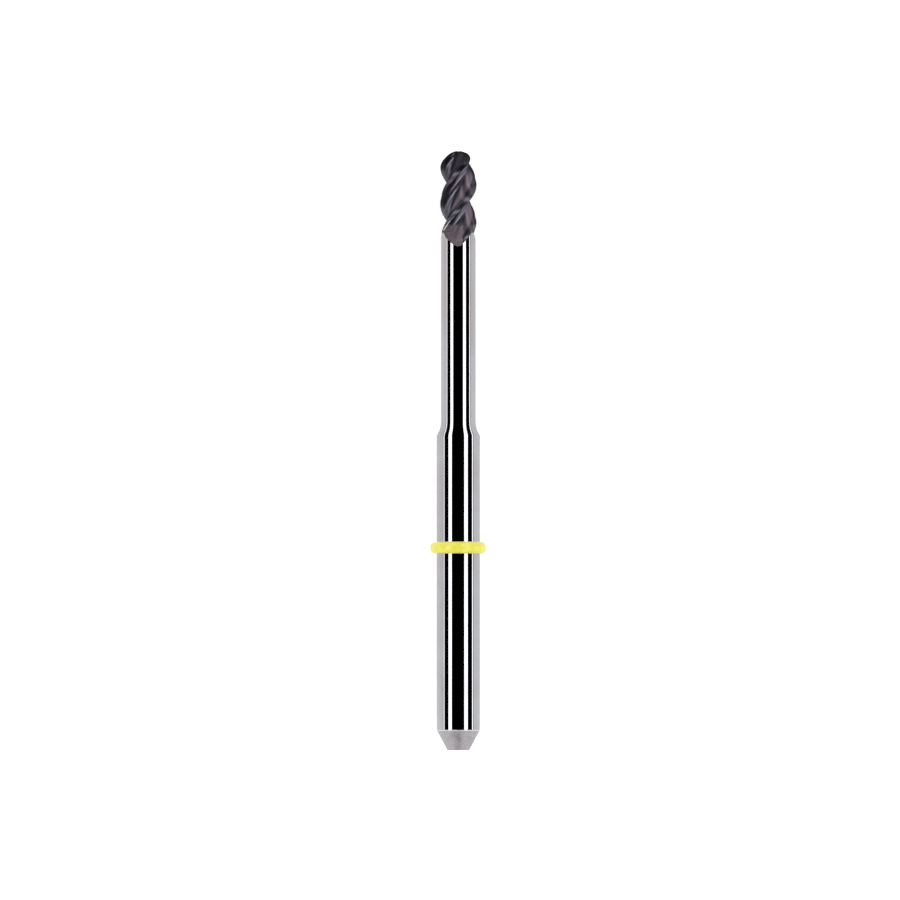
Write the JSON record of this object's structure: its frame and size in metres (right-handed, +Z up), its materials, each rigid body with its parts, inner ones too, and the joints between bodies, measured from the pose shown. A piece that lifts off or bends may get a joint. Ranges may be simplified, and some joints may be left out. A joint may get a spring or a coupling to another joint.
{
  "type": "milling cutter",
  "caption": "Ball-nose milling cutter with helical flutes, slim relieved neck, straight chamfered shank and a yellow colour ring in a shank groove.",
  "frame": {"origin": "on the surface the cutter lies on, under the middle of its length and width", "axes": "+Z up, +Y towards the cutting tip, X across; the cutter lies on its ring and its head, so its axis falls by 1.54 degrees towards the tip"},
  "size_m": [0.0038, 0.0412, 0.0039],
  "materials": {
    "cutter_body": "polished carbide, with a dark violet-grey coating on the fluted head",
    "colour_ring": "satin yellow elastomer"
  },
  "bodies": {
    "root": {"cutter_body": "cutter_body", "colour_ring": "colour_ring"}
  },
  "joints": []
}
